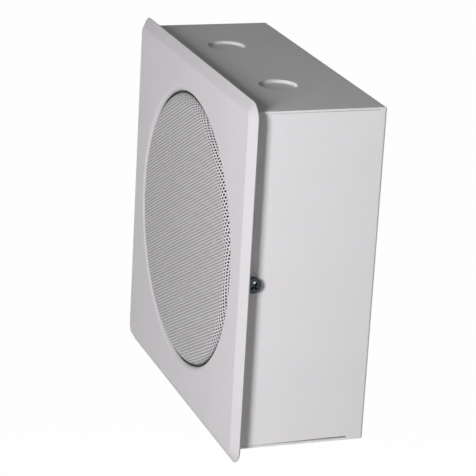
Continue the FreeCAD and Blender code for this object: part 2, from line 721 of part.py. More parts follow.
terminal_lugs = new_body("terminal_lugs")
sketch = new_sketch(terminal_lugs, "XZ_Plane", ("0", "0", f"-({board_back})"))
lug_top = f"({rivet_place} - dims.lug_width / 2)"
lug_bottom = f"({lug_top} + dims.lug_length)"
for side in (1, -1):
    lug_left = f"({side} * {lug_place} - dims.lug_width / 2)"
    lug_right = f"({side} * {lug_place} + dims.lug_width / 2)"
    rectangle(sketch, lug_left, f"-{lug_bottom}", lug_right, f"-{lug_top}")
    circle(sketch, f"{side} * {lug_place}", f"-{rivet_place}", rivet_hole)
pad(terminal_lugs, sketch, "dims.lug_sheet", True)

terminal_rivets = new_body("terminal_rivets")
for start, length, radius in (
    (f"({shelf_plane} - dims.rivet_head_height)", "dims.rivet_head_height", "dims.rivet_head_dia / 2"),
    (shelf_plane, "dims.frame_sheet + dims.board_height + dims.lug_sheet", "dims.rivet_dia / 2"),
    (lug_back, "dims.rivet_head_height", "dims.rivet_head_dia / 2"),
):
    sketch = new_sketch(terminal_rivets, "XZ_Plane", ("0", "0", f"-({start})"))
    for side in (1, -1):
        circle(sketch, f"{side} * {lug_place}", f"-{rivet_place}", radius)
    pad(terminal_rivets, sketch, length, True)
    doc.recompute()


# Cable grommet: rubber bush in the cable hole, flush with the back face and lipped inside.
cable_grommet = new_body("cable_grommet")
neck_radius = "(dims.cable_hole_dia / 2 - dims.grommet_clearance)"
lip_radius = "(dims.cable_hole_dia / 2 + dims.grommet_lip)"
for start, length, radius in (
    ("0", "dims.sheet", neck_radius),
    ("dims.sheet", "dims.grommet_lip_height", lip_radius),
):
    sketch = new_sketch(cable_grommet, "XZ_Plane", ("0", "0", start))
    circle(sketch, "0", "-dims.cable_hole_drop", radius)
    circle(sketch, "0", "-dims.cable_hole_drop", "dims.grommet_bore / 2")
    pad(cable_grommet, sketch, length)
    doc.recompute()


# Every feature is sound and every piece is whole before anything is written.
doc.recompute()
for item in doc.Objects:
    if "Invalid" in item.State or "Error" in item.State:
        raise RuntimeError("Failed feature: " + item.Label)
pieces = [item for item in doc.Objects if item.TypeId == "PartDesign::Body"]
for piece in pieces:
    if piece.Shape.isNull() or not piece.Shape.isValid():
        raise RuntimeError("Unsound piece: " + piece.Label)
os.makedirs("parts", exist_ok=True)
for piece in pieces:
    piece.Shape.exportStep(f"parts/{piece.Label}.step")
    print(piece.Label, len(piece.Shape.Solids), round(piece.Shape.Volume, 1))
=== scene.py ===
import bmesh
import bpy
import math
from mathutils import Matrix, Vector


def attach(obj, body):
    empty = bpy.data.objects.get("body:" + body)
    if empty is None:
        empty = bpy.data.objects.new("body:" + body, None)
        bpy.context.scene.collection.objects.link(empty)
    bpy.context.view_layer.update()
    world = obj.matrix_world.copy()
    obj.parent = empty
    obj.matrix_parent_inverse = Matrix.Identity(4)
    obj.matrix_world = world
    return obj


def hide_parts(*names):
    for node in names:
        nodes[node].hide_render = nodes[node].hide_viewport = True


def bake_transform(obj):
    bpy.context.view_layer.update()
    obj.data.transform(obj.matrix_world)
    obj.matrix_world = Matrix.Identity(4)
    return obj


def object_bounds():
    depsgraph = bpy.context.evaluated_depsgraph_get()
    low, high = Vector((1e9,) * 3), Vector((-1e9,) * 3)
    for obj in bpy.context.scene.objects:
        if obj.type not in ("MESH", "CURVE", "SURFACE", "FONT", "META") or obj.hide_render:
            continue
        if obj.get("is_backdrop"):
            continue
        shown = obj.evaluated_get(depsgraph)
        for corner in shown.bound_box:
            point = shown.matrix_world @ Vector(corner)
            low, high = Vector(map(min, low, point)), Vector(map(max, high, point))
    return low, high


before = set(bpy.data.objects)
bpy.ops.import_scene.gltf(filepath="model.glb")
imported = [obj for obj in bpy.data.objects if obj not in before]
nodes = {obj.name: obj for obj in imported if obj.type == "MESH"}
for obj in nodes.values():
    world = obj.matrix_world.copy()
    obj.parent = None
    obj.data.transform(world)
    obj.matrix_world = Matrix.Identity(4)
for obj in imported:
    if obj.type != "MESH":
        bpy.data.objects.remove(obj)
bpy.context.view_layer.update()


# Studio: a camera at the speaker's right, a little above it, on a pale sweep.
# A soft box stands between the camera and the front, a small lamp fills the side, a card low on the
# left throws a little light back, and two lamps lower than the top show the back and the left.
scene = bpy.context.scene
scene.view_settings.view_transform = "Standard"


def linear(code):
    """The linear colour of an sRGB hex value."""
    channels = [int(code[at:at + 2], 16) / 255 for at in (1, 3, 5)]
    return [c / 12.92 if c <= 0.04045 else ((c + 0.055) / 1.055) ** 2.4 for c in channels] + [1.0]


def add(tree, kind, inputs=None, **settings):
    """Adds a node with its settings; an input is a value, or the socket or node that is linked to it."""
    node = tree.nodes.new(kind)
    for name, setting in settings.items():
        setattr(node, name, setting)
    for key, given in (inputs or {}).items():
        if isinstance(given, bpy.types.Node):
            given = given.outputs[0]
        if isinstance(given, bpy.types.NodeSocket):
            tree.links.new(given, node.inputs[key])
        else:
            node.inputs[key].default_value = given
    return node


def seen_directly(tree):
    """One for rays that show the background: straight from the camera, mirrored or through glass."""
    rays = add(tree, "ShaderNodeLightPath").outputs
    mirrored = add(tree, "ShaderNodeMath", {0: rays["Is Camera Ray"], 1: rays["Is Glossy Ray"]},
                   operation="MAXIMUM")
    return add(tree, "ShaderNodeMath", {0: mirrored, 1: rays["Is Transmission Ray"]}, operation="MAXIMUM")


camera_place = Vector((1.20330, -0.48430, 0.42253))
camera_aim = Vector((0.02731, -0.05671, 0.00228))
camera_roll = math.radians(3.262)
camera = bpy.data.objects.new("camera", bpy.data.cameras.new("camera"))
scene.collection.objects.link(camera)
camera.data.sensor_width = 36
camera.data.lens = 173.106
facing = (camera_aim - camera_place).to_track_quat("-Z", "Y").to_matrix()
turned_camera = (facing @ Matrix.Rotation(camera_roll, 3, "Z")).to_4x4()
camera.matrix_world = Matrix.Translation(camera_place) @ turned_camera
scene.camera = camera

world = bpy.data.worlds.new("white_studio")
scene.world = world
world.use_nodes = True
tree = world.node_tree
tree.nodes.clear()
room_light = add(tree, "ShaderNodeBackground", {"Color": linear("#FFFFFF"), "Strength": 0.106})
white_room = add(tree, "ShaderNodeBackground", {"Color": linear("#FFFFFF"), "Strength": 1.0})
shown = add(tree, "ShaderNodeMixShader", {0: seen_directly(tree), 1: room_light, 2: white_room})
add(tree, "ShaderNodeOutputWorld", {"Surface": shown})

speaker_middle = Vector((0, -0.06, 0))


def soft_box(name, place, width, height, power):
    """A rectangular lamp, in metres and watts, aimed at the speaker's middle."""
    lamp = bpy.data.lights.new(name, "AREA")
    lamp.shape = "RECTANGLE"
    lamp.size = width
    lamp.size_y = height
    lamp.energy = power
    stand = bpy.data.objects.new(name, lamp)
    scene.collection.objects.link(stand)
    turn = (speaker_middle - Vector(place)).to_track_quat("-Z", "Y").to_matrix().to_4x4()
    stand.matrix_world = Matrix.Translation(place) @ turn


soft_box("key_soft_box", (0.672, -0.789, 0.285), width=0.22, height=0.36, power=10.6)
soft_box("side_fill", (1.18, 0.306, -0.097), width=0.13, height=0.13, power=0.9)
soft_box("bounce_card", (-0.50, -0.60, -0.50), width=0.40, height=0.40, power=0.55)
soft_box("back_fill", (-0.55, 1.00, -0.27), width=0.60, height=0.60, power=6.0)
soft_box("left_fill", (-1.10, 0.30, -0.15), width=0.40, height=0.40, power=3.5)

floor_drop = -0.60
floor_half = 4.0
square = ((-1, -1), (1, -1), (1, 1), (-1, 1))
floor_mesh = bpy.data.meshes.new("floor")
floor_corners = [(x * floor_half, y * floor_half, floor_drop) for x, y in square]
floor_mesh.from_pydata(floor_corners, [], [(0, 1, 2, 3)])
floor = bpy.data.objects.new("floor", floor_mesh)
scene.collection.objects.link(floor)
# Matt white paper: the eye sees an even white that still takes a trace of shadow.
paper = bpy.data.materials.new("white_backdrop_paper")
paper.use_nodes = True
tree = paper.node_tree
tree.nodes.clear()
even_share = 0.985
matt = add(tree, "ShaderNodeBsdfDiffuse", {"Color": linear("#F2F2F2")})
glow = add(tree, "ShaderNodeEmission", {"Color": linear("#FFFFFF"), "Strength": 1.0})
share = add(tree, "ShaderNodeMath", {0: seen_directly(tree), 1: even_share}, operation="MULTIPLY")
surface = add(tree, "ShaderNodeMixShader", {0: share, 1: matt, 2: glow})
add(tree, "ShaderNodeOutputMaterial", {"Surface": surface})
floor_mesh.materials.append(paper)
floor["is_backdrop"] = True


# Back box: folded from one steel sheet, with seams at the side walls and two knockouts in the top.
# It is powder coated after folding, and screws through its back wall hold it to the wall.
MM = 0.001


def blank_finish(name):
    """A new material, its empty tree and the place on the piece in metres."""
    material = bpy.data.materials.new(name)
    material.use_nodes = True
    tree = material.node_tree
    tree.nodes.clear()
    return material, tree, add(tree, "ShaderNodeTexCoord").outputs["Object"]


def powder_coat(name, dark, light):
    """Satin powder coat: the eye sees a faint orange peel, small drifts of tone and an even soft gloss."""
    material, tree, place = blank_finish(name)
    peel_size = 1.6 * MM        # a real peel is near 1 mm; drawn a little coarser so that it shows
    peel_height = 0.08 * MM
    drift_size = 45 * MM
    peel = add(tree, "ShaderNodeTexNoise", {"Vector": place, "Scale": 1 / peel_size, "Detail": 2.0})
    bump = add(tree, "ShaderNodeBump", {"Height": peel, "Strength": 0.10, "Distance": peel_height})
    drift = add(tree, "ShaderNodeTexNoise", {"Vector": place, "Scale": 1 / drift_size, "Detail": 3.0})
    tone = add(tree, "ShaderNodeMix", {"Factor": drift, "A": linear(dark), "B": linear(light)},
               data_type="RGBA")
    gloss = add(tree, "ShaderNodeMapRange", {"Value": peel, "To Min": 0.46, "To Max": 0.60})
    paint = add(tree, "ShaderNodeBsdfPrincipled", {
        "Base Color": tone.outputs["Result"], "Roughness": gloss, "IOR": 1.5,
        "Specular IOR Level": 0.03, "Normal": bump,
    })
    add(tree, "ShaderNodeOutputMaterial", {"Surface": paint})
    return material


def placed(name, mesh, materials, node):
    """Puts a finished mesh in the scene, on the cabinet and in place of its CAD node."""
    piece = bpy.data.objects.new(name, mesh)
    scene.collection.objects.link(piece)
    for number, material in enumerate(materials):
        if number < len(mesh.materials):
            mesh.materials[number] = material
        else:
            mesh.materials.append(material)
    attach(piece, "cabinet")
    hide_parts(node)


weld = 0.002 * MM
flat_turn = math.radians(0.5)
box_mesh = nodes["enclosure"].data.copy()
box_mesh.name = "back_box"
shell = bmesh.new()
shell.from_mesh(box_mesh)
bmesh.ops.remove_doubles(shell, verts=shell.verts, dist=weld)
bmesh.ops.dissolve_limit(shell, angle_limit=flat_turn, verts=shell.verts, edges=shell.edges)

# The side walls were folded a little out of square, so that their seams are nearly shut in front and
# open towards the back. In mm: a wall edge's height in the CAD model, then the depth and the folded
# height of its front end and of its back end.
seams = {96.4: ((-77.7, 96.7), (-4.0, 96.5)), -96.1: ((-77.7, -96.7), (-10.0, -95.6))}
side_wall = 96.75
for point in shell.verts:
    across, depth, height = (c / MM for c in point.co)
    if abs(across) > side_wall and round(height, 1) in seams:
        (front, front_height), (back, back_height) = seams[round(height, 1)]
        along = (depth - front) / (back - front)
        point.co.z = (front_height + along * (back_height - front_height)) * MM

# The flat walls keep their own shading, and only the narrow facets of the bends run together.
wall_area = 300 * MM ** 2
wall_crease = math.radians(1)
bend_crease = math.radians(25)
for edge in shell.edges:
    beside_wall = any(face.calc_area() > wall_area for face in edge.link_faces)
    edge.smooth = edge.calc_face_angle(math.pi) < (wall_crease if beside_wall else bend_crease)
for face in shell.faces:
    face.smooth = True
shell.to_mesh(box_mesh)
shell.free()
box_paint = powder_coat("satin_powder_coat_box", "#DFDDDF", "#E5E3E5")
placed("back_box", box_mesh, [box_paint], "enclosure")


# Baffle: the front plate, pressed from steel sheet with a bevelled border and round corners.
# Its big opening is rolled inwards, and the plate is powder coated as the box is, a little darker.
face_plane = -80.7 * MM
sheet = 1.2 * MM
corner_centre = 95.0 * MM
face_half = 99.0 * MM
rim_half = 105.0 * MM
rim_plane = -77.1 * MM
outline_drop = 1.4 * MM
opening_radius = 80.7 * MM
roll_radius = 3.4 * MM
lip_end = -75.7 * MM
press_radius = 2.2 * MM
edge_round = 0.3 * MM
corner_steps = 18
side_steps = 44
roll_steps = 12
back_roll_steps = 8
press_steps = 6
edge_steps = 4


def eased(before, corner, after, radius, steps):
    """Points of the arc that rounds a profile's corner; before, corner and after are (across, y)."""
    corner = Vector(corner)
    towards = (Vector(before) - corner).normalized()
    onwards = (Vector(after) - corner).normalized()
    half_angle = towards.angle(onwards) / 2
    centre = corner + (towards + onwards).normalized() * radius / math.sin(half_angle)
    first = corner + towards * radius / math.tan(half_angle) - centre
    last = corner + onwards * radius / math.tan(half_angle) - centre
    sweep = first.angle_signed(last)
    return [tuple(centre + Matrix.Rotation(-sweep * step / steps, 2) @ first) for step in range(steps + 1)]


def square_ring(half, y):
    """A square with round corners about the fixed corner centres, hung a little below the opening."""
    ring = []
    drop = Vector((0, 0, -outline_drop))
    radius = half - corner_centre
    for quarter in range(4):
        turn = Matrix.Rotation(-quarter * math.pi / 2, 3, "Y")
        for step in range(corner_steps + 1):
            angle = math.pi / 2 * step / corner_steps
            ring.append(drop + turn @ Vector((corner_centre + radius * math.cos(angle), y,
                                              corner_centre + radius * math.sin(angle))))
        for step in range(1, side_steps):
            along = corner_centre * (1 - 2 * step / side_steps)
            ring.append(drop + turn @ Vector((along, y, half)))
    return ring


spokes = [math.atan2(point.z, point.x) for point in square_ring(face_half, 0)]


def round_ring(radius, y):
    """A circle on the same spokes as the square rings."""
    return [Vector((radius * math.cos(angle), y, radius * math.sin(angle))) for angle in spokes]


def outward_mesh(name, points, faces):
    """A mesh with every face turned outwards."""
    mesh = bpy.data.meshes.new(name)
    mesh.from_pydata(points, [], faces)
    solid = bmesh.new()
    solid.from_mesh(mesh)
    bmesh.ops.recalc_face_normals(solid, faces=solid.faces)
    solid.to_mesh(mesh)
    solid.free()
    return mesh


def skin(name, rings):
    """One skin from ring to ring, and from the last ring back to the first."""
    count = len(rings[0])
    faces = []
    for ring in range(len(rings)):
        here = ring * count
        there = (ring + 1) % len(rings) * count
        for step in range(count):
            after = (step + 1) % count
            faces.append((here + step, here + after, there + after, there + step))
    return outward_mesh(name, [point for ring in rings for point in ring], faces)


def shaded(mesh, crease):
    """Smooth shading that keeps edges sharper than the crease angle, in degrees."""
    mesh.shade_smooth()
    mesh.set_sharp_from_angle(angle=math.radians(crease))


bevel_slant = math.hypot(rim_half - face_half, rim_plane - face_plane)
edge_inset = sheet * (rim_plane - face_plane) / bevel_slant
edge_depth = sheet * (rim_half - face_half) / bevel_slant
slope = (rim_plane - face_plane) / (rim_half - face_half)
back_plane = face_plane + sheet
back_inside = corner_centre + 2 * MM
roll_centre = opening_radius + roll_radius
roll_foot = roll_centre + 0.3 * MM
face_middle = (corner_centre, face_plane)
face_crease = (face_half, face_plane)
rim = (rim_half, rim_plane)
back_rim = (rim_half - edge_inset, rim_plane + edge_depth)
back_crease = (back_rim[0] - (back_rim[1] - back_plane) / slope, back_plane)

rings = [round_ring(opening_radius + edge_round, lip_end), round_ring(opening_radius, lip_end - edge_round)]
for step in range(roll_steps + 1):
    angle = math.pi / 2 * step / roll_steps
    rings.append(round_ring(roll_centre - roll_radius * math.cos(angle),
                            face_plane + roll_radius - roll_radius * math.sin(angle)))
rings.append(round_ring(roll_foot, face_plane))
rings.append(square_ring(face_half - press_radius, face_plane))
press = eased(face_middle, face_crease, rim, press_radius, press_steps)
edge = eased(face_crease, rim, back_rim, edge_round, edge_steps)
bevel_ends = (0.06, 0.94)   # rings near both ends of the bevel keep its shading flat between them
bevel = [tuple(Vector(press[-1]).lerp(Vector(edge[0]), share)) for share in bevel_ends]
back_edge = eased(rim, back_rim, back_crease, edge_round, edge_steps)
for half, y in press + bevel + edge + back_edge + [back_crease, (back_inside, back_plane)]:
    rings.append(square_ring(half, y))
for step in range(back_roll_steps + 1):
    angle = math.pi / 2 * step / back_roll_steps
    inside = roll_radius - sheet
    rings.append(round_ring(roll_centre - inside * math.sin(angle),
                            face_plane + roll_radius - inside * math.cos(angle)))
rings.append(round_ring(opening_radius + sheet, lip_end - edge_round))
rings.append(round_ring(opening_radius + sheet - edge_round, lip_end))
baffle_mesh = skin("baffle_plate", rings)
shaded(baffle_mesh, crease=40)
front_tones = ("#C5C2C5", "#CBC8CB")
baffle_paint = powder_coat("satin_powder_coat_baffle", *front_tones)
placed("baffle_plate", baffle_mesh, [baffle_paint], "baffle")


# Grille: a perforated steel pan with a faint crown and a rounded shoulder, flanged behind the lip.
# The blank was punched with staggered holes in upright columns before it was pressed. Its hole walls
# are painted a dull grey that stands for the shade inside the holes.
pan_radius = 80.0 * MM
shoulder_bend = 5.8 * MM
crown_apex = -82.15 * MM
crown_rise = 0.4 * MM
pan_sheet = 0.8 * MM
flange_radius = 84.8 * MM
hole_pitch = 2.05 * MM
hole_size = 1.5 * MM
column_turn = math.radians(-2.7)
last_hole = math.radians(85)
crown_reach = pan_radius - shoulder_bend
punched_reach = crown_reach + shoulder_bend * last_hole
grille_paint = powder_coat("satin_powder_coat_grille", *front_tones)

# Painted shade on the hole walls: a dull grey, a little uneven, that stands for the shade inside the holes.
hole_wall_shade, tree, place = blank_finish("darkened_punched_edge")
shade_mottle_size = 0.6 * MM
shade_mottle = add(tree, "ShaderNodeTexNoise", {"Vector": place, "Scale": 1 / shade_mottle_size, "Detail": 3.0})
hole_shade_tone = add(tree, "ShaderNodeMix", {"Factor": shade_mottle, "A": linear("#737375"), "B": linear("#838385")},
                data_type="RGBA")
hole_shade_surface = add(tree, "ShaderNodeBsdfPrincipled", {"Base Color": hole_shade_tone.outputs["Result"],
                                                    "Roughness": 0.7})
add(tree, "ShaderNodeOutputMaterial", {"Surface": hole_shade_surface})


def on_blank(length, degrees):
    """A point of the flat blank at a length and an angle from its middle."""
    angle = math.radians(degrees)
    return Vector((length * math.cos(angle), 0, length * math.sin(angle)))


def stock(name, shape):
    """A working object of an edited shape; it is removed once the part is made from it."""
    mesh = bpy.data.meshes.new(name)
    shape.to_mesh(mesh)
    shape.free()
    working = bpy.data.objects.new(name, mesh)
    scene.collection.objects.link(working)
    return working


# One cell of the sheet: the walls of a six-sided hole, the bars that run from it to the neighbours
# above and beside it, and the two small webs between those bars. Cells side by side close the sheet.
# A web's corner is given as the angle towards its hole, none for the cell's own, and its number there.
cell = bmesh.new()
wall_mark = cell.faces.layers.bool.new("hole_wall")
hole_corner = [on_blank(hole_size / 2, 60 * k) for k in range(6)]
hole_middle = {turn: on_blank(hole_pitch, turn) for turn in (30, 90, 150)}
hole_middle[None] = Vector()
webs = [
    ((None, 0), (30, 4), (30, 3), (None, 1)), ((None, 1), (90, 5), (90, 4), (None, 2)),
    ((None, 2), (150, 0), (150, 5), (None, 3)),
    ((None, 1), (30, 3), (90, 5)), ((None, 2), (90, 4), (150, 0)),
]
own_corners = [(None, 4), (None, 5)]
sheet_points = {}
for depth in (0, pan_sheet):
    for turn, k in [corner for web in webs for corner in web] + own_corners:
        if (depth, turn, k) not in sheet_points:
            corner_at = hole_corner[k] + hole_middle[turn] + Vector((0, depth, 0))
            sheet_points[depth, turn, k] = cell.verts.new(corner_at)
    for web in webs:
        order = web[::-1] if depth else web
        cell.faces.new([sheet_points[depth, turn, k] for turn, k in order])
for k in range(6):
    after = (k + 1) % 6
    wall = cell.faces.new([sheet_points[0, None, k], sheet_points[pan_sheet, None, k],
                           sheet_points[pan_sheet, None, after], sheet_points[0, None, after]])
    wall[wall_mark] = True
cell_object = stock("punched_cell", cell)


def part_tree(name, sizes):
    """A geometry tree with a named input for each (label, socket type, value), and the values to set."""
    tree = bpy.data.node_groups.new(name, "GeometryNodeTree")
    tree.is_modifier = True
    tree.interface.new_socket("Geometry", in_out="OUTPUT", socket_type="NodeSocketGeometry")
    values = {}
    for label, kind, value in sizes:
        socket = tree.interface.new_socket(label, in_out="INPUT", socket_type=kind)
        values[socket.identifier] = value
    return tree, add(tree, "NodeGroupInput").outputs, values


def grown(tree, values):
    """Runs a geometry tree once and keeps its result as a plain mesh."""
    carrier = bpy.data.objects.new(tree.name, bpy.data.meshes.new(tree.name))
    scene.collection.objects.link(carrier)
    modifier = carrier.modifiers.new(tree.name, "NODES")
    modifier.node_group = tree
    for identifier, value in values.items():
        modifier[identifier] = value
    depsgraph = bpy.context.evaluated_depsgraph_get()
    mesh = bpy.data.meshes.new_from_object(carrier.evaluated_get(depsgraph))
    mesh.name = tree.name
    bpy.data.objects.remove(carrier)
    return mesh


tree, given, pan_values = part_tree("punched_pan", (
    ("Cell", "NodeSocketObject", cell_object), ("Pitch", "NodeSocketFloat", hole_pitch),
    ("Punched reach", "NodeSocketFloat", punched_reach), ("Column turn", "NodeSocketFloat", column_turn),
    ("Crown apex", "NodeSocketFloat", crown_apex), ("Crown reach", "NodeSocketFloat", crown_reach),
    ("Crown rise", "NodeSocketFloat", crown_rise), ("Shoulder bend", "NodeSocketFloat", shoulder_bend),
    ("Paint", "NodeSocketMaterial", grille_paint), ("Cut edge", "NodeSocketMaterial", hole_wall_shade),
))

# The blank's lattice: columns stand a pitch times cos 30 apart, every other one half a pitch higher.
stagger = math.cos(math.pi / 6)
columns = 2 * math.ceil(punched_reach / hole_pitch / stagger) + 1
rows = 2 * math.ceil(punched_reach / hole_pitch) + 3
blank = add(tree, "GeometryNodeMeshGrid", {"Size X": columns - 1.0, "Size Y": rows - 1.0,
                                           "Vertices X": columns, "Vertices Y": rows})
count_at = add(tree, "ShaderNodeSeparateXYZ", {0: add(tree, "GeometryNodeInputPosition")}).outputs
column = add(tree, "ShaderNodeMath", {0: count_at["X"]}, operation="ROUND")
odd = add(tree, "ShaderNodeMath", {0: column, 1: 2.0}, operation="FLOORED_MODULO")
row = add(tree, "ShaderNodeMath", {0: odd, 1: 0.5, 2: count_at["Y"]}, operation="MULTIPLY_ADD")
column_gap = add(tree, "ShaderNodeMath", {0: given["Pitch"], 1: stagger}, operation="MULTIPLY")
column_x = add(tree, "ShaderNodeMath", {0: column, 1: column_gap}, operation="MULTIPLY")
row_z = add(tree, "ShaderNodeMath", {0: row, 1: given["Pitch"]}, operation="MULTIPLY")
lattice = add(tree, "ShaderNodeCombineXYZ", {"X": column_x, "Z": row_z})
turned_lattice = add(tree, "ShaderNodeVectorRotate", {"Vector": lattice, "Axis": (0, -1, 0),
                                                      "Angle": given["Column turn"]})
spread = add(tree, "GeometryNodeSetPosition", {"Geometry": blank, "Position": turned_lattice})
out_by = add(tree, "ShaderNodeVectorMath", {0: add(tree, "GeometryNodeInputPosition")}, operation="LENGTH")
beyond = add(tree, "FunctionNodeCompare", {0: out_by.outputs["Value"], 1: given["Punched reach"]},
             operation="GREATER_THAN")
kept = add(tree, "GeometryNodeDeleteGeometry", {"Geometry": spread, "Selection": beyond}, domain="POINT")
part = add(tree, "GeometryNodeObjectInfo", {"Object": given["Cell"]})
back_turn = add(tree, "ShaderNodeMath", {0: given["Column turn"], 1: -1.0}, operation="MULTIPLY")
cell_turn = add(tree, "ShaderNodeCombineXYZ", {"Y": back_turn})
cells = add(tree, "GeometryNodeInstanceOnPoints", {"Points": kept, "Instance": part.outputs["Geometry"],
                                                   "Rotation": cell_turn})
sheet_of_cells = add(tree, "GeometryNodeRealizeInstances", {"Geometry": cells})
cell_weld = 0.02 * MM
welded = add(tree, "GeometryNodeMergeByDistance", {"Geometry": sheet_of_cells, "Distance": cell_weld})

# Pressing: each point of the flat blank goes to the crown or round the shoulder's bend.
flat_at = add(tree, "ShaderNodeSeparateXYZ", {0: add(tree, "GeometryNodeInputPosition")}).outputs
x_squared = add(tree, "ShaderNodeMath", {0: flat_at["X"], 1: 2.0}, operation="POWER")
z_squared = add(tree, "ShaderNodeMath", {0: flat_at["Z"], 1: 2.0}, operation="POWER")
across_squared = add(tree, "ShaderNodeMath", {0: x_squared, 1: z_squared}, operation="ADD")
across = add(tree, "ShaderNodeMath", {0: across_squared}, operation="SQRT")
on_crown = add(tree, "ShaderNodeMath", {0: across, 1: given["Crown reach"]}, operation="MINIMUM")
past_crown = add(tree, "ShaderNodeMath", {0: across, 1: on_crown}, operation="SUBTRACT")
bend_angle = add(tree, "ShaderNodeMath", {0: past_crown, 1: given["Shoulder bend"]}, operation="DIVIDE")
bend_sine = add(tree, "ShaderNodeMath", {0: bend_angle}, operation="SINE")
bend_cosine = add(tree, "ShaderNodeMath", {0: bend_angle}, operation="COSINE")
inner_bend = add(tree, "ShaderNodeMath", {0: given["Shoulder bend"], 1: flat_at["Y"]}, operation="SUBTRACT")
pressed_out = add(tree, "ShaderNodeMath", {0: inner_bend, 1: bend_sine, 2: on_crown},
                  operation="MULTIPLY_ADD")
never_zero = add(tree, "ShaderNodeMath", {0: across, 1: 0.001 * MM}, operation="MAXIMUM")
widen = add(tree, "ShaderNodeMath", {0: pressed_out, 1: never_zero}, operation="DIVIDE")
crown_share = add(tree, "ShaderNodeMath", {0: on_crown, 1: given["Crown reach"]}, operation="DIVIDE")
fall = add(tree, "ShaderNodeMath", {0: crown_share, 1: 2.0}, operation="POWER")
crown_y = add(tree, "ShaderNodeMath", {0: fall, 1: given["Crown rise"], 2: given["Crown apex"]},
              operation="MULTIPLY_ADD")
bend_left = add(tree, "ShaderNodeMath", {0: inner_bend, 1: bend_cosine}, operation="MULTIPLY")
bend_y = add(tree, "ShaderNodeMath", {0: given["Shoulder bend"], 1: bend_left}, operation="SUBTRACT")
pressed_x = add(tree, "ShaderNodeMath", {0: flat_at["X"], 1: widen}, operation="MULTIPLY")
pressed_y = add(tree, "ShaderNodeMath", {0: crown_y, 1: bend_y}, operation="ADD")
pressed_z = add(tree, "ShaderNodeMath", {0: flat_at["Z"], 1: widen}, operation="MULTIPLY")
pressed_at = add(tree, "ShaderNodeCombineXYZ", {"X": pressed_x, "Y": pressed_y, "Z": pressed_z})
pressed = add(tree, "GeometryNodeSetPosition", {"Geometry": welded, "Position": pressed_at})
coated = add(tree, "GeometryNodeSetMaterial", {"Geometry": pressed, "Material": given["Paint"]})
# The hole walls take the painted shade, a dull grey that stands for the shade inside the holes.
hole_walls = add(tree, "GeometryNodeInputNamedAttribute", {"Name": "hole_wall"}, data_type="BOOLEAN")
hole_shade_set = add(tree, "GeometryNodeSetMaterial", {"Geometry": coated, "Material": given["Cut edge"],
                                            "Selection": hole_walls.outputs["Attribute"]})
add(tree, "NodeGroupOutput", {"Geometry": hole_shade_set})
punched_mesh = grown(tree, pan_values)
bpy.data.objects.remove(cell_object)

# The unpunched border runs under the last holes, down the pan's wall and out into the flange.
border_lap = 0.6 * hole_pitch
border_start = punched_reach - border_lap
start_angle = (border_start - crown_reach) / shoulder_bend
wall_plane = crown_apex + crown_rise + shoulder_bend
border_sink = 0.03 * MM
border_steps = 12


def border_bend(depth):
    """The border's bend at a depth in the sheet, from under the last holes to the wall."""
    bend = shoulder_bend - depth
    angles = [start_angle + (math.pi / 2 - start_angle) * step / border_steps
              for step in range(border_steps + 1)]
    return [(crown_reach + bend * math.sin(angle), wall_plane - bend * math.cos(angle)) for angle in angles]


flange_back = lip_end + pan_sheet
border = border_bend(border_sink) + [(pan_radius - border_sink, lip_end), (flange_radius, lip_end)]
border += [(flange_radius, flange_back), (pan_radius - pan_sheet + border_sink, flange_back)]
border += border_bend(pan_sheet - border_sink)[::-1]
border_mesh = skin("pan_border", [round_ring(radius, y) for radius, y in border])

grille_shape = bmesh.new()
grille_shape.from_mesh(punched_mesh)
bmesh.ops.recalc_face_normals(grille_shape, faces=grille_shape.faces)
# Faces of the hole walls, which carry the painted shade, get the second slot.
for face in grille_shape.faces:
    face.material_index = int(punched_mesh.materials[face.material_index] == hole_wall_shade)
grille_shape.from_mesh(border_mesh)
grille_mesh = bpy.data.meshes.new("punched_grille")
grille_shape.to_mesh(grille_mesh)
grille_shape.free()
bpy.data.meshes.remove(punched_mesh)
bpy.data.meshes.remove(border_mesh)
shaded(grille_mesh, crease=35)
placed("punched_grille", grille_mesh, [grille_paint, hole_wall_shade], "grille")


# Seals: a foam ring closes the gap between the grille and the rolled lip; its black is painted shade
# for the deep gap. A foam gasket lies between the grille's flange and the driver. Both are cut from
# sheet and held by the clamped parts.


def dressed(material, *names):
    """Gives CAD nodes that stay as they are their finish."""
    for name in names:
        nodes[name].data.materials.clear()
        nodes[name].data.materials.append(material)


# Black foam: its open cells swallow light, so the eye sees a dull, soft and dimpled black. On the ring
# in the gap by the lip, this black is painted shade for the deep gap.
foam_and_gap_shade, tree, place = blank_finish("black_foam")
pore_size = 0.8 * MM
pore_depth = 0.2 * MM
pores = add(tree, "ShaderNodeTexVoronoi", {"Vector": place, "Scale": 1 / pore_size}).outputs["Distance"]
pore_bump = add(tree, "ShaderNodeBump", {"Height": pores, "Strength": 0.6, "Distance": pore_depth})
pore_tone = add(tree, "ShaderNodeMix", {"Factor": pores, "A": linear("#0C0C0D"), "B": linear("#1D1D1F")},
                data_type="RGBA")
foam_and_gap_shade_surface = add(tree, "ShaderNodeBsdfPrincipled", {
    "Base Color": pore_tone.outputs["Result"], "Roughness": 0.95, "Normal": pore_bump,
})
add(tree, "ShaderNodeOutputMaterial", {"Surface": foam_and_gap_shade_surface})
# On the seal ring the black is painted shade for the gap; the gasket is black foam.
dressed(foam_and_gap_shade, "grille_seal", "driver_gasket")


# Side screws: pan-head machine screws with a cross recess, one in each side wall.
# They are cold-headed steel, polished and plated, and screw into nuts on the baffle's brackets.
screw_plane = -72.5 * MM
head_radius = 4.65 * MM
head_height = 3.2 * MM
head_crown = 0.7 * MM
shoulder_round = 0.8 * MM
shank_radius = 2.4 * MM
shank_length = 10.0 * MM
recess_span = 5.4 * MM
recess_width = 1.3 * MM
recess_depth = 2.0 * MM
recess_foot = 0.64          # the size of the recess at its foot, as a share of its mouth
recess_turn = math.radians(45)
box_half = 98.0 * MM
dome_steps = 12
shoulder_steps = 6
turning_steps = 48

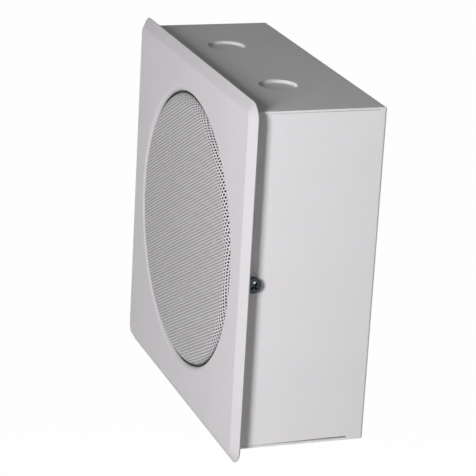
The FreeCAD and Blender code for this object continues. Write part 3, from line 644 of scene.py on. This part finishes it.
# Black nickel, polished: the eye sees a dark mirror with a trace of haze and one small hot light.
black_nickel, tree, place = blank_finish("polished_black_nickel")
haze_size = 0.9 * MM
haze = add(tree, "ShaderNodeTexNoise", {"Vector": place, "Scale": 1 / haze_size, "Detail": 3.0})
haze_gloss = add(tree, "ShaderNodeMapRange", {"Value": haze, "To Min": 0.06, "To Max": 0.12})
nickel = add(tree, "ShaderNodeBsdfPrincipled", {"Base Color": linear("#3B4245"), "Metallic": 1.0,
                                                "Roughness": haze_gloss})
add(tree, "ShaderNodeOutputMaterial", {"Surface": nickel})

dome_radius = (head_radius ** 2 + head_crown ** 2) / (2 * head_crown)
dome_angle = math.asin(head_radius / dome_radius)
profile = []
for step in range(dome_steps + 1):
    angle = dome_angle * step / dome_steps
    profile.append((dome_radius * math.sin(angle), head_height - dome_radius * (1 - math.cos(angle))))
# The round of the head's shoulder takes the place of the dome's last points.
profile[-3:] = eased(profile[-3], profile[-1], (head_radius, 0), shoulder_round, shoulder_steps)
profile += [(head_radius, 0), (shank_radius, 0), (shank_radius, -shank_length), (0, -shank_length)]
turned_screw = bmesh.new()
profile_points = [turned_screw.verts.new((height, out, 0)) for out, height in profile]
profile_edges = [turned_screw.edges.new(pair) for pair in zip(profile_points, profile_points[1:])]
bmesh.ops.spin(turned_screw, geom=profile_points + profile_edges, cent=(0, 0, 0), axis=(1, 0, 0),
               angle=2 * math.pi, steps=turning_steps, use_merge=True)
bmesh.ops.remove_doubles(turned_screw, verts=turned_screw.verts, dist=weld)
bmesh.ops.recalc_face_normals(turned_screw, faces=turned_screw.faces)
screw_object = stock("turned_screw", turned_screw)

punch = bmesh.new()
punch_top = head_height + 1.0 * MM
foot_and_mouth = ((head_height - recess_depth, recess_foot), (punch_top, 1.0))
for wide, tall in ((recess_span, recess_width), (recess_width, recess_span)):
    low, high = ([punch.verts.new((x, y * wide / 2 * share, z * tall / 2 * share)) for y, z in square]
                 for x, share in foot_and_mouth)
    punch.faces.new(low)
    punch.faces.new(high)
    for k in range(4):
        after = (k + 1) % 4
        punch.faces.new((low[k], low[after], high[after], high[k]))
bmesh.ops.rotate(punch, cent=(0, 0, 0), matrix=Matrix.Rotation(recess_turn, 3, "X"), verts=punch.verts)
bmesh.ops.recalc_face_normals(punch, faces=punch.faces)
punch_object = stock("cross_punch", punch)
recess = screw_object.modifiers.new("recess", "BOOLEAN")
recess.object = punch_object
recess.solver = "EXACT"
recess.use_self = True

tree, given, screw_values = part_tree("side_screw_pair", (
    ("Screw", "NodeSocketObject", screw_object), ("Box half", "NodeSocketFloat", box_half),
    ("Screw plane", "NodeSocketFloat", screw_plane), ("Plating", "NodeSocketMaterial", black_nickel),
))
left_wall = add(tree, "ShaderNodeMath", {0: given["Box half"], 1: -1.0}, operation="MULTIPLY")
right_seat = add(tree, "ShaderNodeCombineXYZ", {"X": given["Box half"], "Y": given["Screw plane"]})
left_seat = add(tree, "ShaderNodeCombineXYZ", {"X": left_wall, "Y": given["Screw plane"]})
seats = add(tree, "GeometryNodeMeshLine", {"Count": 2, "Start Location": right_seat, "Offset": left_seat},
            mode="END_POINTS")
half_turn = add(tree, "ShaderNodeMath", {0: add(tree, "GeometryNodeInputIndex"), 1: math.pi},
                operation="MULTIPLY")
seat_turn = add(tree, "ShaderNodeCombineXYZ", {"Z": half_turn})
part = add(tree, "GeometryNodeObjectInfo", {"Object": given["Screw"]})
screws = add(tree, "GeometryNodeInstanceOnPoints", {"Points": seats, "Instance": part.outputs["Geometry"],
                                                    "Rotation": seat_turn})
real_screws = add(tree, "GeometryNodeRealizeInstances", {"Geometry": screws})
plated = add(tree, "GeometryNodeSetMaterial", {"Geometry": real_screws, "Material": given["Plating"]})
add(tree, "NodeGroupOutput", {"Geometry": plated})
screws_mesh = grown(tree, screw_values)
bpy.data.objects.remove(screw_object)
bpy.data.objects.remove(punch_object)
shaded(screws_mesh, crease=30)
placed("side_screw_pair", screws_mesh, [black_nickel], "side_screws")


# Fixings inside: angle brackets for the side screws, weld studs and nuts for the driver, and the
# magnet's front plate and yoke. All are mild steel, pressed or turned and then zinc plated.
# Bright zinc: the eye sees cool grey metal with faint spangles and streaks of gloss.
zinc, tree, place = blank_finish("bright_zinc_plate")
spangle_size = 3.5 * MM
streak_size = 1.2 * MM
spangle = add(tree, "ShaderNodeTexVoronoi", {"Vector": place, "Scale": 1 / spangle_size})
streak = add(tree, "ShaderNodeTexNoise", {"Vector": place, "Scale": 1 / streak_size, "Detail": 4.0})
zinc_tone = add(tree, "ShaderNodeMix", {"Factor": spangle.outputs["Distance"], "A": linear("#C9CBCA"),
                                        "B": linear("#AEB0AC")}, data_type="RGBA")
zinc_gloss = add(tree, "ShaderNodeMapRange", {"Value": streak, "To Min": 0.25, "To Max": 0.45})
zinc_steel = add(tree, "ShaderNodeBsdfPrincipled", {"Base Color": zinc_tone.outputs["Result"],
                                                    "Metallic": 1.0, "Roughness": zinc_gloss})
add(tree, "ShaderNodeOutputMaterial", {"Surface": zinc_steel})
dressed(zinc, "bracket_left", "bracket_right", "side_nuts", "driver_studs", "driver_nuts",
        "front_plate", "yoke")


# Driver frame: a steel basket pressed with windows, ears and a terminal tab.
# It is stove enamelled, and the baffle's studs and nuts clamp it over the gasket.
# Black stove enamel: the eye sees a deep black with slow, soft waves in its gloss.
enamel, tree, place = blank_finish("black_stove_enamel")
sag_size = 2.5 * MM
sag_depth = 0.1 * MM
sag = add(tree, "ShaderNodeTexNoise", {"Vector": place, "Scale": 1 / sag_size, "Detail": 2.0})
sag_bump = add(tree, "ShaderNodeBump", {"Height": sag, "Strength": 0.15, "Distance": sag_depth})
enamel_gloss = add(tree, "ShaderNodeMapRange", {"Value": sag, "To Min": 0.28, "To Max": 0.42})
enamel_paint = add(tree, "ShaderNodeBsdfPrincipled", {"Base Color": linear("#1A1A1B"),
                                                      "Roughness": enamel_gloss, "Normal": sag_bump})
add(tree, "ShaderNodeOutputMaterial", {"Surface": enamel_paint})
dressed(enamel, "basket")


# Magnet: a ring of ferrite, pressed from powder and fired, with its two faces ground flat.
# It is glued between the front plate and the yoke.
# Ground ferrite: the eye sees a dull dark grey, finely pitted.
ferrite, tree, place = blank_finish("ground_ferrite")
grit_size = 0.7 * MM
grit_depth = 0.1 * MM
grit = add(tree, "ShaderNodeTexNoise", {"Vector": place, "Scale": 1 / grit_size, "Detail": 5.0})
grit_bump = add(tree, "ShaderNodeBump", {"Height": grit, "Strength": 0.35, "Distance": grit_depth})
grit_tone = add(tree, "ShaderNodeMix", {"Factor": grit, "A": linear("#2A2A2C"), "B": linear("#444446")},
                data_type="RGBA")
ferrite_body = add(tree, "ShaderNodeBsdfPrincipled", {"Base Color": grit_tone.outputs["Result"],
                                                      "Roughness": 0.62, "Normal": grit_bump})
add(tree, "ShaderNodeOutputMaterial", {"Surface": ferrite_body})
dressed(ferrite, "magnet")


# Coil: enamelled copper wire, wound tight on a former that is rolled from kraft paper.
# The former is glued into the cone's neck, so that the coil hangs in the magnet's gap.
# Enamelled copper: the eye sees warm metal in fine, even rings.
copper, tree, place = blank_finish("enamelled_copper_wire")
wire_size = 0.4 * MM        # a real wire is near 0.2 mm; drawn coarser so that it shows
wire_relief = 0.1 * MM
turns = add(tree, "ShaderNodeTexWave", {"Vector": place, "Scale": math.pi / 10 / wire_size},
            wave_type="BANDS", bands_direction="Y")
turns_bump = add(tree, "ShaderNodeBump", {"Height": turns.outputs["Fac"], "Strength": 0.7,
                                          "Distance": wire_relief})
copper_wire = add(tree, "ShaderNodeBsdfPrincipled", {"Base Color": linear("#C8713A"), "Metallic": 1.0,
                                                     "Roughness": 0.3, "Normal": turns_bump})
add(tree, "ShaderNodeOutputMaterial", {"Surface": copper_wire})
dressed(copper, "voice_coil")

# Varnished kraft paper: the eye sees a light brown with mixed fibres under a soft gloss.
kraft, tree, place = blank_finish("varnished_kraft_paper")
fibre_size = 0.8 * MM
fibre = add(tree, "ShaderNodeTexNoise", {"Vector": place, "Scale": 1 / fibre_size, "Detail": 6.0})
kraft_tone = add(tree, "ShaderNodeMix", {"Factor": fibre, "A": linear("#8A6238"), "B": linear("#B08A58")},
                 data_type="RGBA")
kraft_paper = add(tree, "ShaderNodeBsdfPrincipled", {"Base Color": kraft_tone.outputs["Result"],
                                                     "Roughness": 0.45})
add(tree, "ShaderNodeOutputMaterial", {"Surface": kraft_paper})
dressed(kraft, "coil_former")


# Cone and dust cap: moulded from black-dyed paper pulp on a mesh and dried in a press.
# The cap is glued over the cone's neck, and the cone to the surround and the coil's former.
# Black paper pulp: the eye sees felted fibres as a dull mottle.
pulp, tree, place = blank_finish("black_paper_pulp")
felt_size = 1.1 * MM
felt_depth = 0.15 * MM
felt = add(tree, "ShaderNodeTexNoise", {"Vector": place, "Scale": 1 / felt_size, "Detail": 8.0,
                                        "Roughness": 0.7})
felt_bump = add(tree, "ShaderNodeBump", {"Height": felt, "Strength": 0.5, "Distance": felt_depth})
felt_tone = add(tree, "ShaderNodeMix", {"Factor": felt, "A": linear("#161617"), "B": linear("#2B2B2D")},
                data_type="RGBA")
pulp_body = add(tree, "ShaderNodeBsdfPrincipled", {"Base Color": felt_tone.outputs["Result"],
                                                   "Roughness": 0.88, "Normal": felt_bump})
add(tree, "ShaderNodeOutputMaterial", {"Surface": pulp_body})
dressed(pulp, "cone", "dust_cap")


# Suspension: the surround is woven cotton doped black, the spider the same cloth dipped in resin.
# Each is glued to the frame outside and to the cone or its coil inside, and bends between them. It is
# drawn in sectors that meet without a step. Its sizes are in mm.
sector_count = 12
sector_angle = 2 * math.pi / sector_count
sector_steps = 12


def woven(name, dark, light, gloss):
    """Plain-weave cloth: the eye sees fine ribs both ways, softened by what the cloth was dipped in."""
    material, tree, place = blank_finish(name)
    thread = 0.9 * MM           # a real thread is near 0.4 mm; drawn coarser so that it shows
    thread_relief = 0.15 * MM
    warp = add(tree, "ShaderNodeTexWave", {"Vector": place, "Scale": math.pi / 10 / thread},
               wave_type="BANDS", bands_direction="X")
    weft = add(tree, "ShaderNodeTexWave", {"Vector": place, "Scale": math.pi / 10 / thread},
               wave_type="BANDS", bands_direction="Z")
    weave = add(tree, "ShaderNodeMath", {0: warp.outputs["Fac"], 1: weft.outputs["Fac"]},
                operation="MULTIPLY")
    ribs = add(tree, "ShaderNodeBump", {"Height": weave, "Strength": 0.5, "Distance": thread_relief})
    tone = add(tree, "ShaderNodeMix", {"Factor": weave, "A": linear(dark), "B": linear(light)},
               data_type="RGBA")
    cloth = add(tree, "ShaderNodeBsdfPrincipled", {"Base Color": tone.outputs["Result"],
                                                   "Roughness": gloss, "Normal": ribs})
    add(tree, "ShaderNodeOutputMaterial", {"Surface": cloth})
    return material


def soft_ring(name, profile, cloth):
    """A ring of cloth from (radius, y) points, drawn in sectors round the axis."""
    count = len(profile)
    for sector in range(sector_count):
        spoke = sector_angle * sector
        points = []
        for step in range(sector_steps + 1):
            angle = spoke + sector_angle * (step / sector_steps - 0.5)
            points += [(out * MM * math.cos(angle), y * MM, out * MM * math.sin(angle))
                       for out, y in profile]
        faces = [tuple(range(count)), tuple(range(sector_steps * count, (sector_steps + 1) * count))]
        for step in range(sector_steps):
            here = step * count
            for k in range(count):
                after = (k + 1) % count
                faces.append((here + k, here + after, here + count + after, here + count + k))
        mesh = outward_mesh(f"{name}_{sector + 1}", points, faces)
        shaded(mesh, crease=40)
        mesh.materials.append(cloth)
        piece = bpy.data.objects.new(mesh.name, mesh)
        scene.collection.objects.link(piece)
        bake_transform(piece)
        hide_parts(name)


cloth_sheet = 0.5
bond_plane = -72.65
bond_inside = 52.5
bond_outside = 57.0
under_bond_outside = 57.3
land_plane = -72.9
land_outside = 73.5
half_roll_middle = 61.5
half_roll_radius = 4.0
half_roll_steps = 16
half_roll_foot = math.asin(cloth_sheet / half_roll_radius)
over = []
under = []
for step in range(half_roll_steps + 1):
    angle = half_roll_foot + (math.pi - 2 * half_roll_foot) * step / half_roll_steps
    over.append((half_roll_middle - half_roll_radius * math.cos(angle),
                 land_plane - half_roll_radius * math.sin(angle)))
    angle = math.pi * step / half_roll_steps
    inside = half_roll_radius - cloth_sheet
    under.append((half_roll_middle + inside * math.cos(angle), land_plane - inside * math.sin(angle)))
surround = [(bond_inside, bond_plane - cloth_sheet), (bond_outside, bond_plane - cloth_sheet)] + over
surround += [(land_outside, land_plane - cloth_sheet), (land_outside, land_plane)] + under
surround += [(under_bond_outside, bond_plane), (bond_inside, bond_plane)]
# Doped cotton: the eye sees black ribs with a low gloss.
doped_cloth = woven("doped_black_cloth", "#121213", "#262628", gloss=0.6)
soft_ring("surround", surround, doped_cloth)

shelf_plane = -45.7
shelf_outside = 40.0
neck_inside = 13.0
wave_outer = 36.0
wave_gap = 2.528
wave_height = 1.4
wave_count = 8
wave_steps = 8
waves = []
for step in range(wave_count * wave_steps + 1):
    lift = wave_height / 2 * (1 - math.cos(math.pi * step / wave_steps))
    waves.append((wave_outer - wave_gap * step / wave_steps, shelf_plane - lift))
under_side = [(shelf_outside, shelf_plane)] + waves + [(neck_inside, shelf_plane)]
spider = [(out, y - cloth_sheet) for out, y in under_side] + under_side[::-1]
# Resin-dipped cotton: the eye sees amber brown ribs, drier and a little duller.
resin_cloth = woven("resin_dipped_cloth", "#8A6A34", "#C09A55", gloss=0.7)
soft_ring("spider", spider, resin_cloth)


# Driver terminals: two tinned brass lugs on a board that is sawn from brown paper laminate.
# Rivets hold the lugs to the board and the board to the frame's tab.
# Paper laminate: the eye sees a warm brown mottle under a fair gloss.
laminate, tree, place = blank_finish("paper_laminate_board")
mottle_size = 1.5 * MM
mottle = add(tree, "ShaderNodeTexNoise", {"Vector": place, "Scale": 1 / mottle_size, "Detail": 5.0})
laminate_tone = add(tree, "ShaderNodeMix", {"Factor": mottle, "A": linear("#5E3A1E"),
                                            "B": linear("#7E5330")}, data_type="RGBA")
board = add(tree, "ShaderNodeBsdfPrincipled", {"Base Color": laminate_tone.outputs["Result"],
                                               "Roughness": 0.4})
add(tree, "ShaderNodeOutputMaterial", {"Surface": board})
dressed(laminate, "terminal_board")

# Tinned brass: the eye sees a pale, faintly warm metal where the tin has flowed unevenly.
tin, tree, place = blank_finish("tinned_brass")
flow_size = 1.0 * MM
flow = add(tree, "ShaderNodeTexNoise", {"Vector": place, "Scale": 1 / flow_size, "Detail": 3.0})
flow_gloss = add(tree, "ShaderNodeMapRange", {"Value": flow, "To Min": 0.2, "To Max": 0.4})
tin_plate = add(tree, "ShaderNodeBsdfPrincipled", {"Base Color": linear("#D6D2C4"), "Metallic": 1.0,
                                                   "Roughness": flow_gloss})
add(tree, "ShaderNodeOutputMaterial", {"Surface": tin_plate})
dressed(tin, "terminal_lugs", "terminal_rivets")


# Cable grommet: a bush moulded from soft rubber, which keeps the cable off the steel's edge.
# Its groove snaps into the hole of the back wall.
# Black rubber: the eye sees a dull black with a faint grey bloom.
rubber, tree, place = blank_finish("black_rubber")
bloom_size = 1.4 * MM
bloom = add(tree, "ShaderNodeTexNoise", {"Vector": place, "Scale": 1 / bloom_size, "Detail": 4.0})
bloom_tone = add(tree, "ShaderNodeMix", {"Factor": bloom, "A": linear("#151515"), "B": linear("#252525")},
                 data_type="RGBA")
bush = add(tree, "ShaderNodeBsdfPrincipled", {"Base Color": bloom_tone.outputs["Result"],
                                              "Roughness": 0.75})
add(tree, "ShaderNodeOutputMaterial", {"Surface": bush})
dressed(rubber, "cable_grommet")


# The finished speaker's box, in metres.
low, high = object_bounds()
